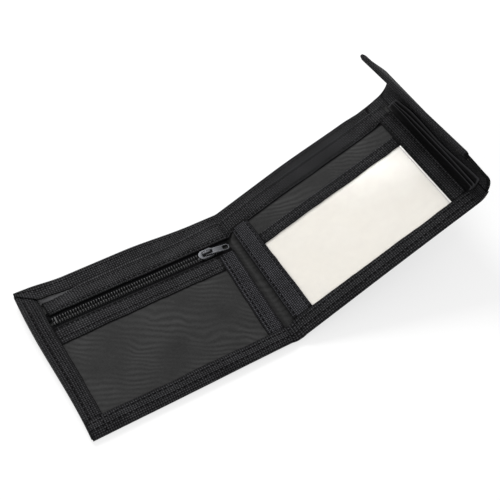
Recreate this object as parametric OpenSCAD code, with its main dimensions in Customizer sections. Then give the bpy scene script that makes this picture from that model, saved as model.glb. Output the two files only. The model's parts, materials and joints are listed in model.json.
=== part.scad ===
// Nylon bifold wallet, lying open: a one-piece outer shell with a wrap-over closing flap, a bill
// compartment along the top, a zipped coin pocket on the left panel and a window pocket on the right.
// Panel coordinates: u runs outward from the fold line, v up to the bill mouth, w up from the table.

/* [Panels] */
// Width of the left panel, from the fold line to its outer edge
panel_w = 110; // [104:1:125]
// Height of the outer shell
shell_h = 96; // [92:1:110]
// Height of the front wall of the bill compartment
front_h = 86; // [80:1:90]
// Corner radius of the shell and the flap
corner_r = 4; // [2:0.5:7]
// Half the width of the soft strip between the panels
spine_half = 12; // [9:0.5:16]
// Lift of the right panel from flat, as it lies open
open_tilt = 21.3; // [5:0.1:60]

/* [Cloth] */
// Padded nylon of the outer shell
shell_t = 1.2; // [0.8:0.1:2]
// Lining cloth
lining_t = 0.3; // [0.2:0.05:0.5]
// One ply of pocket cloth
ply_t = 0.3; // [0.2:0.05:0.5]
// Air between two plies of an empty pocket
ply_gap = 0.1; // [0.05:0.05:0.3]
// Nylon tape that frames the pockets
tape_t = 0.5; // [0.3:0.1:0.8]
// Clear sheet of the window
vinyl_t = 0.3; // [0.2:0.05:0.5]

/* [Bill compartment] */
// How far the mouth stands open
mouth_gape = 5.2; // [4.8:0.1:7]
// Band along the top of the right front wall
top_band_h = 10; // [7:0.5:12]
// Band along the top of the left front wall, down to the zip
zip_top_band_h = 13.5; // [10:0.5:14.5]
// Binding along the top of the shell
shell_binding_h = 6; // [4:0.5:8]

/* [Frame tapes] */
// Hem along the bottom of both panels
hem_h = 10.5; // [8:0.5:13]
// Tape along the outer edge of the left panel
edge_tape_w = 8.5; // [6:0.5:11]
// Tape along the fold side of the left panel
left_fold_tape_w = 9; // [6:0.5:11]
// Tape along the fold side of the right panel
right_fold_tape_w = 10.3; // [7:0.1:10.3]
// Tape along the outer side of the window
window_side_tape_w = 8.9; // [7:0.1:8.9]
// Distance of the left pockets from the fold line
left_inset = 3.7; // [2:0.1:6]
// Distance of the right pockets from the fold line
right_inset = 0.8; // [0.5:0.1:4]

/* [Coin pocket] */
// Nylon band below the zip
zip_band_h = 10; // [7:0.5:12]
// Height of the slit that the zip closes
zip_slit_h = 8; // [8:0.5:11]
// Thickness of the zip tape
zip_tape_t = 0.3; // [0.2:0.05:0.4]
// Spacing of the coil turns
coil_pitch = 1.4; // [1.2:0.1:2]
// Width of one coil row
coil_w = 1.5; // [1.2:0.1:1.8]
// Height of the coil over its tape
coil_h = 1; // [0.8:0.1:1.3]
// Clear way between the parted coil rows
row_gap = 1.2; // [1:0.1:1.6]

/* [Zip slider] */
// Length of the slider body
slider_l = 9; // [8:0.5:11]
// Thickness of the slider plates
slider_plate_t = 0.5; // [0.4:0.1:0.7]
// Thickness of the slider's side flanges
flange_t = 0.6; // [0.4:0.1:0.9]
// Height of the bridge over the slider
bridge_h = 1.4; // [1.3:0.1:2]
// Length of the pull tab from its bar
pull_l = 12.5; // [11:0.5:18]
// Width of the pull tab
pull_w = 4.6; // [4.2:0.1:6]
// Thickness of the pull tab
pull_t = 0.55; // [0.5:0.05:0.6]

/* [Window pocket] */
// Height of the window pocket, to the top of its binding
window_h = 63; // [58:1:66]
// Binding along the top of the window
window_binding_h = 6.5; // [4:0.5:9]
// Room for a card behind the window
card_room = 0.5; // [0.4:0.05:1]
// Width of the blank insert card
card_w = 85.6; // [80:0.1:85.6]
// Height of the blank insert card
card_h = 54; // [48:0.5:54]
// Thickness of the blank insert card
card_t = 0.3; // [0.2:0.05:0.35]
// Width of the window pocket's frame, from the fold line to its outer edge
frame_w = 106; // [105:0.5:110]

/* [Closing flap] */
// Length of the stiff part of the flap
flap_l = 14; // [13:0.5:30]
// Height of the flap
flap_h = 91; // [80:1:92]
// Half the length of the soft strip between the right panel and the flap
flap_bend = 9; // [8:0.5:10]
// Lift of the flap from flat, measured from the right panel
flap_lift = 105; // [60:1:120]
// Thickness of the hook and loop strips
grip_t = 1; // [0.8:0.1:1.1]
// Width of the hook strip
hook_w = 9; // [6:0.5:10]
// Length of the hook strip
hook_l = 76; // [60:1:76]

/* [Fits] */
// Running clearance round the slider
run_clear = 0.15; // [0.12:0.01:0.18]
// Clearance between the closed panels, and between the flap and the panel under it
close_clear = 0.5; // [0.4:0.1:1]
// Gap between a soft strip and the pieces beside it
strip_clear = 0.15; // [0.1:0.05:0.3]
// Clearance between the insert card and the tapes beside it
card_clear = 0.2; // [0.1:0.05:0.2]

/* [Hidden] */
$fn = 48;
eps = 0.01;

// Cloth colours
nylon = "#26262b";
lining = "#3f3f41";
grey_lining = "#77777a";
zip_black = "#1b1b1d";
metal = "#8a8c92";

// The pockets lean on the bill compartment, which opens like a wedge towards its mouth
face_z = shell_t + lining_t;
gape_angle = asin(mouth_gape / front_h);
band_v = front_h - top_band_h;
zip_top_v = front_h - zip_top_band_h;
slit_v = zip_top_v - zip_slit_h;
zip_v = slit_v + zip_slit_h / 2;

// Levels above the underside of the front wall, left panel
coin_back_w = ply_t + ply_gap;
slider_low_w = coin_back_w + ply_t + run_clear;
zip_tape_w = slider_low_w + slider_plate_t + run_clear;
coil_low_w = zip_tape_w + zip_tape_t;
coin_face_w = coil_low_w + ply_gap / 2;
left_tape_w = coin_face_w + ply_t;
slider_top_w = coil_low_w + coil_h + run_clear;
bridge_low_w = slider_top_w + slider_plate_t;
bridge_top_w = bridge_low_w + bridge_h;

// Levels above the underside of the front wall, right panel
function side_ply_w(i) = (ply_t + ply_gap) * (i + 1);
window_back_w = side_ply_w(3);
window_floor_w = window_back_w + ply_t;
window_sheet_w = window_floor_w + card_room;
right_tape_w = window_sheet_w + vinyl_t;

// The fold axis lies where the closed panels clear the zip slider
zip_rise = face_z + zip_v * sin(gape_angle);
slider_peak_z = zip_rise + bridge_top_w;
facing_peak_z = zip_rise + window_floor_w + tape_t;
fold_axis_z = (slider_peak_z + facing_peak_z + close_clear) / 2;

// The flap turns about an axis that lays it over the closed left panel
flap_t = shell_t + lining_t + grip_t;
flap_axis_w = fold_axis_z + (flap_t + close_clear) / 2;
flap_axis_u = frame_w;
right_shell_u = flap_axis_u - flap_bend;
flap_v = (shell_h - flap_h) / 2 + 2;
hook_margin = (flap_l - hook_w) / 2;
hook_v = flap_v + (flap_h - hook_l) / 2;

// The side pocket lips share the room inside the bend of the flap's soft strip
bend_room = flap_axis_w - shell_t - close_clear;
lip_drop = flap_axis_w - face_z - hem_h * sin(gape_angle) - side_ply_w(0);
lip_step = sqrt(pow(bend_room, 2) - pow(lip_drop, 2)) / 3;

// Zip runs and slider place
zip_start_u = left_inset + 7.4;
zip_end_u = panel_w - edge_tape_w;
stop_l = 1.2;
coil_start_u = zip_start_u + stop_l + 0.2;
coil_end_u = zip_end_u - stop_l - 0.2;
coil_count = floor((coil_end_u - coil_start_u) / coil_pitch);
row_v = row_gap / 2;
slider_w = 2 * (row_v + coil_w + run_clear + flange_t);
slider_u = coil_start_u + slider_l / 2 + run_clear;
bar_r = (bridge_h - 0.65) / 2 - 0.1;
bar_w = bridge_low_w + (bridge_h - 0.65) / 2;

// The drawn frame has its origin in the middle of the left panel's underside
origin_u = (panel_w + spine_half) / 2;
origin_v = shell_h / 2;

module placed() { translate([origin_u, -origin_v, 0]) children(); }

module on_left() { placed() mirror([1, 0, 0]) children(); }

module on_right() {
  placed() translate([0, 0, fold_axis_z]) rotate([0, -open_tilt, 0])
    translate([0, 0, -fold_axis_z]) children();
}

// Lies on the front wall of the bill compartment
module on_face() { translate([0, 0, face_z]) rotate([gape_angle, 0, 0]) children(); }

// Lies in the flap's flat place, along u from the foot of its axis, and lifts it
module on_flap() {
  on_right() translate([flap_axis_u, 0, flap_axis_w]) rotate([0, -flap_lift, 0])
    translate([0, 0, -flap_axis_w]) children();
}

module sheet(u, v, w, t) {
  translate([u[0], v[0], w]) cube([u[1] - u[0], v[1] - v[0], t]);
}

// A strip along u with a (v, w) outline
module profile(u, outline) {
  translate([u[0], 0, 0]) rotate([90, 0, 90]) linear_extrude(u[1] - u[0]) polygon(outline);
}

// A rectangle with its two outer corners rounded
module outer_rounded(l, h, r) {
  union() {
    square([l - r, h]);
    translate([0, r]) square([l, h - 2 * r]);
    for (y = [r, h - r]) translate([l - r, y]) circle(r);
  }
}

module shell_panel(u_end, r) {
  translate([spine_half, 0, 0]) linear_extrude(shell_t) outer_rounded(u_end - spine_half, shell_h, r);
}

module shell_lining(u_end) {
  sheet([spine_half, u_end], [0, shell_h - corner_r], shell_t, lining_t);
}

// Tape folded over the shell's top edge: its inner leg and its edge
module shell_binding(u_end) {
  profile([spine_half, u_end], [
    [shell_h - corner_r, shell_t], [shell_h, shell_t], [shell_h, 0], [shell_h + tape_t, 0],
    [shell_h + tape_t, shell_t + tape_t], [shell_h - shell_binding_h, shell_t + tape_t],
    [shell_h - shell_binding_h, face_z], [shell_h - corner_r, face_z]
  ]);
}

// Tape over the front wall's top edge, on whatever lies on the wall there
module top_band(u, low_v, level) {
  on_face() profile(u, [
    [low_v, level], [front_h, level], [front_h, 0], [front_h + tape_t, 0],
    [front_h + tape_t, level + tape_t], [low_v, level + tape_t]
  ]);
}

// Hem that holds every ply at the bottom: a leg on the pockets and a wall down to the shell
module hem(u, level) {
  on_face() profile(u, [
    [-tape_t, 0], [0, 0], [0, level], [hem_h, level], [hem_h, level + tape_t], [-tape_t, level + tape_t]
  ]);
  sheet(u, [-tape_t, 0], 0, face_z);
}

module left_shell() {
  color(nylon) on_left() difference() {
    shell_panel(panel_w, corner_r);
    loop_cut();
  }
}

// The loop strip lies flush in the padded shell, where the closed flap brings the hooks
loop_u = flap_axis_u - flap_bend - hook_margin - hook_w;
module loop_cut() {
  translate([loop_u, hook_v, -eps]) cube([hook_w, hook_l, grip_t + eps]);
}

module loop_strip() {
  color(zip_black) on_left() translate([loop_u, hook_v, 0]) cube([hook_w, hook_l, grip_t]);
}

module left_shell_lining() { color(grey_lining) on_left() shell_lining(panel_w); }

module left_shell_binding() { color(nylon) on_left() shell_binding(panel_w - corner_r); }

module left_bill_front() {
  color(lining) on_left() on_face() sheet([left_inset, panel_w], [0, front_h], 0, ply_t);
}

module left_top_band() {
  color(nylon) on_left() top_band([left_inset, zip_end_u], zip_top_v, left_tape_w);
}

// Tape round the outer edge: a leg on the pockets, which the hem laps, and a wall that closes the
// bill compartment
module left_edge_binding() {
  color(nylon) on_left() union() {
    on_face() sheet([zip_end_u, panel_w + tape_t], [hem_h, front_h], left_tape_w, tape_t);
    difference() {
      sheet([panel_w, panel_w + tape_t], [0, front_h], 0, face_z + mouth_gape + left_tape_w);
      on_face() translate([0, hem_h, left_tape_w + tape_t / 2])
        cube([2 * panel_w, 2 * front_h, 2 * mouth_gape]);
      on_face() translate([0, -hem_h, left_tape_w]) cube([2 * panel_w, 2 * hem_h + eps, 2 * mouth_gape]);
    }
  }
}

module left_hem() { color(nylon) on_left() hem([left_inset, panel_w + tape_t], left_tape_w); }

module left_fold_tape() {
  color(nylon) on_left() on_face()
    sheet([left_inset, left_inset + left_fold_tape_w], [hem_h, slit_v], left_tape_w, tape_t);
}

module coin_pocket_back() {
  color(lining) on_left() on_face() sheet([left_inset, panel_w], [0, front_h], coin_back_w, ply_t);
}

module coin_pocket_face() {
  color(lining) on_left() on_face() sheet([left_inset, panel_w], [0, slit_v], coin_face_w, ply_t);
}

module zip_band() {
  color(nylon) on_left() on_face()
    sheet([left_inset + left_fold_tape_w, zip_end_u], [slit_v - zip_band_h, slit_v], left_tape_w, tape_t);
}

// Zip tapes run from under the band and the top band to the middle of their coil rows
tape_tuck = 3;
module zip_tape_lower() {
  color(zip_black) on_left() on_face()
    sheet([left_inset, zip_end_u + tape_tuck], [slit_v - tape_tuck, zip_v - row_v - coil_w / 2],
      zip_tape_w, zip_tape_t);
}

module zip_tape_upper() {
  color(zip_black) on_left() on_face()
    sheet([left_inset, zip_end_u + tape_tuck], [zip_v + row_v + coil_w / 2, zip_top_v + tape_tuck],
      zip_tape_w, zip_tape_t);
}

// One turn of the coil, an oval loop of wire that stands across the tape with its head towards v = 0
wire_t = coil_pitch / 2;
module coil_turn() {
  translate([0, coil_h / 2, coil_h / 2]) rotate([90, 0, 90]) linear_extrude(wire_t) union() {
    circle(coil_h / 2);
    translate([0, -coil_h / 2]) square([coil_w - coil_h / 2, coil_h]);
  }
}

// A row of turns on its sewing cord
cord_h = coil_h - 0.3;
module coil_row() {
  for (i = [0 : coil_count - 1])
    translate([coil_start_u + coil_pitch * i + wire_t / 2, row_v, coil_low_w]) coil_turn();
  translate([coil_start_u, row_v + coil_h / 2, coil_low_w])
    cube([coil_count * coil_pitch, coil_w - coil_h / 2, cord_h]);
}

module zip_coil_lower() {
  color(zip_black) on_left() on_face() translate([0, zip_v, 0]) mirror([0, 1, 0]) coil_row();
}

module zip_coil_upper() {
  color(zip_black) on_left() on_face() translate([0, zip_v, 0]) coil_row();
}

// Bars across both rows that stop the slider at the ends
module zip_stops() {
  color(metal) on_left() on_face() for (u = [zip_start_u, zip_end_u - stop_l])
    translate([u, zip_v - row_v - coil_w, coil_low_w]) cube([stop_l, 2 * (row_v + coil_w), coil_h]);
}

// Outline of a slider plate: a round nose towards the open rows and a chamfered tail
module slider_outline() {
  tail = slider_w / 4;
  nose_r = slider_w / 2;
  union() {
    translate([slider_l / 2 - nose_r, 0]) circle(nose_r);
    polygon([
      [slider_l / 2 - nose_r, -nose_r], [slider_l / 2 - nose_r, nose_r],
      [-slider_l / 2 + tail, nose_r], [-slider_l / 2, nose_r - tail],
      [-slider_l / 2, -nose_r + tail], [-slider_l / 2 + tail, -nose_r]
    ]);
  }
}

module at_slider() { on_left() on_face() translate([slider_u, zip_v, 0]) children(); }

bridge_l = 5.2;
bridge_w = 1.2;
bridge_leg = 0.7;
module slider_body() {
  post_r = row_v - run_clear;
  inner_w = slider_w - 2 * flange_t;
  color(metal) at_slider() union() {
    translate([0, 0, slider_low_w]) linear_extrude(slider_plate_t) slider_outline();
    translate([0, 0, slider_top_w]) linear_extrude(slider_plate_t) slider_outline();
    translate([slider_l / 2 - slider_w / 4, 0, slider_low_w])
      cylinder(r = post_r, h = slider_top_w - slider_low_w + eps);
    difference() {
      translate([0, 0, coil_low_w + run_clear])
        linear_extrude(slider_top_w - coil_low_w - run_clear + eps) slider_outline();
      translate([-slider_l, -inner_w / 2, 0]) cube([2 * slider_l, inner_w, slider_top_w]);
    }
    slider_bridge();
  }
}

// The bridge is a low arch along the slider that the bar of the pull passes under
module slider_bridge() {
  difference() {
    translate([-bridge_l / 2, -bridge_w / 2, bridge_low_w - eps]) cube([bridge_l, bridge_w, bridge_h + eps]);
    translate([-bridge_l / 2 + bridge_leg, -bridge_w, bridge_low_w])
      cube([bridge_l - 2 * bridge_leg, 2 * bridge_w, 2 * (bar_w - bridge_low_w)]);
  }
}

// The pull lies towards the fold: a round bar, two rails past the bridge and a tab with a hole
module slider_pull() {
  eye = bridge_l / 2 + 0.8;
  eye_w = bridge_w + 2 * run_clear + 0.6;
  hole_l = 2.8;
  hole_w = pull_w - 2.2;
  color(metal) at_slider() mirror([1, 0, 0]) translate([0, 0, bar_w]) union() {
    translate([0, pull_w / 2, 0]) rotate([90, 0, 0]) cylinder(r = bar_r, h = pull_w);
    difference() {
      translate([0, 0, -pull_t / 2]) linear_extrude(pull_t) union() {
        translate([0, -pull_w / 2]) square([pull_l - pull_w / 2, pull_w]);
        translate([pull_l - pull_w / 2, 0]) circle(pull_w / 2);
      }
      translate([-eye, -eye_w / 2, -pull_t]) cube([2 * eye, eye_w, 2 * pull_t]);
      translate([pull_l - hole_l - 1, -hole_w / 2, -pull_t]) cube([hole_l, hole_w, 2 * pull_t]);
    }
    translate([0, eye_w / 2, 0]) rotate([90, 0, 0]) cylinder(r = bar_r, h = eye_w);
  }
}

// A strip of shell cloth in two flat runs with a bend between them, about an axis at the origin along v
bend_steps = 12;
function turned(p, a) = [p[0] * cos(a) - p[1] * sin(a), p[0] * sin(a) + p[1] * cos(a)];
function bent_line(r, bend, run) = concat(
  [[-run, -r]],
  [for (i = [0 : bend_steps]) turned([0, -r], bend * i / bend_steps)],
  [turned([run, -r], bend)]
);
function reversed(list) = [for (i = [len(list) - 1 : -1 : 0]) list[i]];
module bent_strip(r, bend, run, v) {
  translate([0, v[1], 0]) rotate([90, 0, 0]) linear_extrude(v[1] - v[0])
    polygon(concat(bent_line(r, bend, run), reversed(bent_line(r - shell_t, bend, run))));
}

// The shell's soft strip between the panels
module centre_spine() {
  color(nylon) placed() translate([0, 0, fold_axis_z])
    bent_strip(fold_axis_z, open_tilt, spine_half, [0, shell_h]);
}

// A point of the right panel, and one of its leaning face, in the frame of the fold line
function lifted(p) = [
  p[0] * cos(open_tilt) - (p[2] - fold_axis_z) * sin(open_tilt), p[1],
  fold_axis_z + p[0] * sin(open_tilt) + (p[2] - fold_axis_z) * cos(open_tilt)
];
function faced(u, v, w) = [
  u, v * cos(gape_angle) - w * sin(gape_angle), face_z + v * sin(gape_angle) + w * cos(gape_angle)
];

// A soft strip that joins the left and right faces across the fold, from v[0] to v[1]
module face_strip(v, left_w, right_w, t) {
  a = -left_inset + strip_clear;
  b = right_inset - strip_clear;
  left_points = [for (p = [[v[0], 0], [v[1], 0], [v[1], t], [v[0], t]]) faced(a, p[0], left_w + p[1])];
  right_points = [for (p = [[v[0], 0], [v[1], 0], [v[1], t], [v[0], t]])
    lifted(faced(b, p[0], right_w + p[1]))];
  placed() polyhedron(
    points = concat(left_points, right_points),
    faces = [
      [0, 1, 2], [0, 2, 3], [6, 5, 4], [7, 6, 4], [0, 4, 5], [0, 5, 1],
      [1, 5, 6], [1, 6, 2], [2, 6, 7], [2, 7, 3], [3, 7, 4], [3, 4, 0]
    ]
  );
}

module front_wall_spine() { color(lining) face_strip([0, band_v - strip_clear], 0, 0, ply_t); }

module top_band_spine() { color(nylon) face_strip([band_v, front_h], left_tape_w, ply_t, tape_t); }

module hem_spine() {
  color(nylon) face_strip([-tape_t, hem_h], left_tape_w, right_tape_w, tape_t);
}

module right_shell() { color(nylon) on_right() shell_panel(right_shell_u, eps); }

module right_shell_lining() { color(grey_lining) on_right() shell_lining(right_shell_u); }

module right_shell_binding() { color(nylon) on_right() shell_binding(right_shell_u); }

// The front wall turns down at its outer end, where it is sewn to the shell
module right_bill_front() {
  color(lining) on_right() union() {
    on_face() sheet([right_inset, frame_w], [0, front_h], 0, ply_t);
    difference() {
      sheet([right_shell_u - 2 * ply_t, right_shell_u], [hem_h, front_h], face_z, mouth_gape);
      on_face() translate([0, 0, ply_t / 2]) cube([2 * panel_w, 2 * front_h, 2 * mouth_gape]);
    }
  }
}

module right_top_band() { color(nylon) on_right() top_band([right_inset, frame_w], band_v, ply_t); }

module right_hem() { color(nylon) on_right() hem([right_inset, frame_w], right_tape_w); }

// The side tapes step down from the window to the ply above it
tape_step = 1;
module right_fold_tape() {
  color(nylon) on_right() on_face() profile([right_inset, right_inset + right_fold_tape_w], [
    [hem_h, right_tape_w], [window_h, right_tape_w], [window_h + tape_step, window_floor_w],
    [band_v, window_floor_w], [band_v, window_floor_w + tape_t],
    [window_h + tape_step, window_floor_w + tape_t], [window_h, right_tape_w + tape_t],
    [hem_h, right_tape_w + tape_t]
  ]);
}

module window_side_tape() {
  band_top_w = ply_t + tape_t;
  color(nylon) on_right() on_face() profile([frame_w - window_side_tape_w, frame_w], [
    [hem_h, right_tape_w], [window_h, right_tape_w], [window_h + tape_step, window_floor_w],
    [band_v - tape_step, window_floor_w], [band_v, band_top_w], [front_h, band_top_w],
    [front_h, band_top_w + tape_t], [band_v, band_top_w + tape_t],
    [band_v - tape_step, window_floor_w + tape_t], [window_h + tape_step, window_floor_w + tape_t],
    [window_h, right_tape_w + tape_t], [hem_h, right_tape_w + tape_t]
  ]);
}

// A side pocket ply: it opens at the outer edge, where its lip is turned over
pocket_depth = 58;
ply_top_v = band_v - tape_step - strip_clear;
module side_ply(i) {
  lip_u = frame_w + lip_step * (3 - i);
  lip_w = lip_step - ply_gap;
  color(lining) on_right() on_face() union() {
    sheet([frame_w - pocket_depth, frame_w], [0, ply_top_v], side_ply_w(i), ply_t);
    sheet([frame_w - ply_gap, lip_u], [hem_h, ply_top_v], side_ply_w(i), ply_t);
    sheet([frame_w + ply_gap, lip_u], [hem_h, front_h - tape_t], side_ply_w(i), ply_t);
    sheet([lip_u - lip_w, lip_u], [hem_h, front_h - tape_t], side_ply_w(i), 2 * ply_t);
  }
}

module side_pocket_outer() { side_ply(0); }

module side_pocket_middle() { side_ply(1); }

module side_pocket_inner() { side_ply(2); }

module window_back_ply() {
  color(lining) on_right() on_face() sheet([right_inset, frame_w], [0, ply_top_v], window_back_w, ply_t);
}

// Clear sheet, held under the hem, the side tapes and the top binding
window_tuck = 2;
window_u = [right_inset + right_fold_tape_w - window_tuck, frame_w - window_side_tape_w + window_tuck];
module window_sheet() {
  color("lightgrey", 0.35) on_right() on_face()
    sheet(window_u, [hem_h - window_tuck, window_h - tape_t], window_sheet_w, vinyl_t);
}

module window_binding() {
  v = window_h - window_binding_h;
  color(nylon) on_right() on_face()
    profile([right_inset + right_fold_tape_w, frame_w - window_side_tape_w], [
      [v, right_tape_w], [window_h - tape_t, right_tape_w], [window_h - tape_t, window_sheet_w],
      [window_h, window_sheet_w], [window_h, right_tape_w + tape_t], [v, right_tape_w + tape_t]
    ]);
}

// Blank card behind the window, which slides up and out over the top band
card_r = 3;
module insert_card() {
  card_u = right_inset + right_fold_tape_w + card_clear;
  color("#e9e8e4") on_right() on_face() translate([card_u, hem_h - 5, window_floor_w + ply_gap / 2])
    linear_extrude(card_t) union() {
      translate([card_r, 0]) square([card_w - 2 * card_r, card_h]);
      translate([0, card_r]) square([card_w, card_h - 2 * card_r]);
      for (x = [card_r, card_w - card_r]) for (y = [card_r, card_h - card_r]) translate([x, y]) circle(card_r);
    }
}

// The shell's soft strip round the closed edge, between the right panel and the flap
module flap_spine() {
  color(nylon) on_right() translate([flap_axis_u, 0, flap_axis_w])
    bent_strip(flap_axis_w, flap_lift, flap_bend, [flap_v, flap_v + flap_h]);
}

module flap_shell() {
  color(nylon) on_flap() translate([flap_bend, flap_v, 0])
    linear_extrude(shell_t) outer_rounded(flap_l, flap_h, corner_r);
}

// The lining stops short of the binding that goes round the flap's free edge
flap_binding_w = 2;
module flap_lining() {
  color(lining) on_flap()
    sheet([flap_bend, flap_bend + flap_l - flap_binding_w], [flap_v, flap_v + flap_h], shell_t, lining_t);
}

module flap_binding() {
  u = flap_bend + flap_l;
  color(nylon) on_flap() union() {
    sheet([u - flap_binding_w, u + tape_t], [flap_v + corner_r, flap_v + flap_h - corner_r], shell_t, tape_t);
    sheet([u, u + tape_t], [flap_v + corner_r, flap_v + flap_h - corner_r], 0, shell_t + eps);
  }
}

module hook_strip() {
  color(zip_black) on_flap()
    sheet([flap_bend + hook_margin, flap_bend + hook_margin + hook_w], [hook_v, hook_v + hook_l],
      shell_t + lining_t, grip_t);
}

left_shell();
left_shell_lining();
left_shell_binding();
loop_strip();
left_bill_front();
left_top_band();
left_edge_binding();
left_hem();
left_fold_tape();
coin_pocket_back();
coin_pocket_face();
zip_band();
zip_tape_lower();
zip_tape_upper();
zip_coil_lower();
zip_coil_upper();
zip_stops();
slider_body();
slider_pull();
centre_spine();
front_wall_spine();
top_band_spine();
hem_spine();
right_shell();
right_shell_lining();
right_shell_binding();
right_bill_front();
right_top_band();
right_hem();
right_fold_tape();
window_side_tape();
side_pocket_inner();
side_pocket_middle();
side_pocket_outer();
window_back_ply();
window_sheet();
window_binding();
insert_card();
flap_spine();
flap_shell();
flap_lining();
flap_binding();
hook_strip();
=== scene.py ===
import json
import math
import bmesh
import bpy
from mathutils import Matrix, Vector, noise


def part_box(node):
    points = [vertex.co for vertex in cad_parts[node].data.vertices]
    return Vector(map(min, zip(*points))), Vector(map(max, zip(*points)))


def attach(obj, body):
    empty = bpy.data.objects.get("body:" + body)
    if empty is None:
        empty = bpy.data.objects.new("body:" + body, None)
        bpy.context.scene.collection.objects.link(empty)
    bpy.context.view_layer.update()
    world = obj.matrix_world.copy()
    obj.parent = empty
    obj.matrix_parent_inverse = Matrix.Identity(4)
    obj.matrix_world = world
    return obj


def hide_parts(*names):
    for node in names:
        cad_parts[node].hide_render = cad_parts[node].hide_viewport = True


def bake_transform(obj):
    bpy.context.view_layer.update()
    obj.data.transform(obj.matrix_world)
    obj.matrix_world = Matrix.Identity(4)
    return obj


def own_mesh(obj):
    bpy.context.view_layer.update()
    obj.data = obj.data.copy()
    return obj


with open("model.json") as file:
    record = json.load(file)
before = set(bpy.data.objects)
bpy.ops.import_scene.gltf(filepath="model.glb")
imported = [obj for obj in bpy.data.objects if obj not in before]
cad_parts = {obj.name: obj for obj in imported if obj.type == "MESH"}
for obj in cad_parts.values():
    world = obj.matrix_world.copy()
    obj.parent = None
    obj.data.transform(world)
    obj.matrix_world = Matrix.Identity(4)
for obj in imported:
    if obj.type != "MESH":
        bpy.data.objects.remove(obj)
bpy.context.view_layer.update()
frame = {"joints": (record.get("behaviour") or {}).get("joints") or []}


# Outer shell: stout black nylon in one piece from the left edge across the fold to the right panel.
# It is cut flat, rounded at its outer corners, and bends softly at the fold.
MM = 0.001
joints = {j["name"]: j for j in frame["joints"]}
fold_z = joints["centre_fold"]["pos_m"][2] / MM
tilt = math.radians(-joints["centre_fold"]["range_deg"][0])
fold_arc = fold_z * tilt
fold_line = Vector((61, -48, 0))
panel_w = 110
shell_h = 96
shell_t = 1.2
shell_corner = 4
right_shell_end = 97
mid_v = shell_h / 2


def eased(x):
    """0 to 1 with level ends."""
    x = min(max(x, 0), 1)
    return x * x * (3 - 2 * x)


def steps(start, end, size):
    """Even stations from start to end, about size apart."""
    count = max(1, round(abs(end - start) / size))
    return [start + (end - start) * i / count for i in range(count + 1)]


def in_row(x, v, z):
    """A point of the fold line's frame, in mm, as a point of the part, in metres."""
    return (Vector((x, v, z)) + fold_line) * MM


def turned(x, z, angle, axis_z):
    """Turns a point up about an axis along the fold."""
    z = z - axis_z
    return (x * math.cos(angle) - z * math.sin(angle), axis_z + x * math.sin(angle) + z * math.cos(angle))


def left_flare(s, v):
    """The left edge leans out towards the mouth of the long pocket."""
    return -3.7 * eased((-s - 70) / 42) * eased((v - 6) / 82)


def shell_curl(s, v):
    """The shell's free top edge curls up from the table, most at the upper left corner."""
    edge = 2.6 * eased((-s - 14) / 40) + 1.2 * eased((-s - 88) / 24)
    return edge * max((v - 60) / 36, 0) ** 2


def tuck(s):
    """How far the hem draws the shell's bottom edge up under the pockets, more towards the right."""
    if s < 0:
        return 2.6 + 2.6 * s / panel_w + 0.8 * eased((s + 70) / 70)
    return 3.4 + 1.8 * s / panel_w


def shell_point(s, v, w):
    """s runs across the shell from the fold line, left negative, and w is the height in the cloth."""
    v += tuck(s) * max(1 - v / 24, 0) - 2 * eased((s - 40) / 55) * max((v - 60) / 36, 0)
    if s <= 0:
        return in_row(s + left_flare(s, v), v, w + shell_curl(s, v))
    x, z = turned(max(s - fold_arc, 0), w, min(s / fold_z, tilt), fold_z)
    return in_row(x, v, z)


def link(name, data):
    obj = bpy.data.objects.new(name, data)
    bpy.context.scene.collection.objects.link(obj)
    return obj


def smoothed(mesh, sharp=40):
    """Smooth shading but for edges sharper than this angle."""
    mesh.shade_smooth()
    mesh.set_sharp_from_angle(angle=math.radians(sharp))


def plain_mesh(obj, sharp=40):
    """Turns what the modifiers make into the piece's own mesh."""
    graph = bpy.context.evaluated_depsgraph_get()
    mesh = bpy.data.meshes.new_from_object(
        obj.evaluated_get(graph), preserve_all_data_layers=True, depsgraph=graph
    )
    obj.modifiers.clear()
    obj.data = mesh
    smoothed(mesh, sharp)
    return obj


def cloth(name, across, along, place, thick, finish):
    """A woven piece: a grid over its flat cut, placed point by point, then given its thickness.

    The cut's own map, 1 unit to 100 mm, carries the weave, and a point attribute holds each point's distance
    from the cut's edge, which the finishes use to paint shade along the edges, and a highlight on the side
    pockets' lips."""
    cols = len(across)
    points = [place(a, b) for b in along for a in across]
    faces = [
        (r * cols + c, r * cols + c + 1, (r + 1) * cols + c + 1, (r + 1) * cols + c)
        for r in range(len(along) - 1)
        for c in range(cols - 1)
    ]
    mesh = bpy.data.meshes.new(name)
    mesh.from_pydata(points, [], faces)
    cut = mesh.uv_layers.new(name="cut")
    for loop in mesh.loops:
        row, col = divmod(loop.vertex_index, cols)
        cut.data[loop.index].uv = (across[col] / 100, along[row] / 100)
    painted_rim = mesh.attributes.new("painted_rim", "FLOAT", "POINT")
    for i, spot in enumerate(painted_rim.data):
        a, b = across[i % cols], along[i // cols]
        spot.value = min(abs(a - across[0]), abs(a - across[-1]), abs(b - along[0]), abs(b - along[-1]))
    mesh.materials.append(finish)
    obj = link(name, mesh)
    body = obj.modifiers.new("thickness", "SOLIDIFY")
    body.thickness = thick * MM
    body.offset = 1
    edge = obj.modifiers.new("edge", "BEVEL")
    edge.width = 0.3 * thick * MM
    edge.segments = 2
    edge.limit_method = "ANGLE"
    edge.angle_limit = math.radians(50)
    return plain_mesh(obj)


# Plain weave of the nylon as a shader group: warp and weft pass over each other in turn, so height
# and shade alternate thread by thread, and the yarn is a little uneven.
def colour(r, g, b):
    """A colour from its 0 to 255 values, for a shader."""
    return [((c / 255 + 0.055) / 1.055) ** 2.4 for c in (r, g, b)] + [1]


def fill(node, **inputs):
    """Sets or links the inputs of a node, by name or as i and a number."""
    for key, value in inputs.items():
        socket = node.inputs[int(key[1:])] if key[1:].isdigit() else node.inputs[key.replace("_", " ")]
        if isinstance(value, bpy.types.NodeSocket):
            node.id_data.links.new(value, socket)
        else:
            socket.default_value = value


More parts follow.
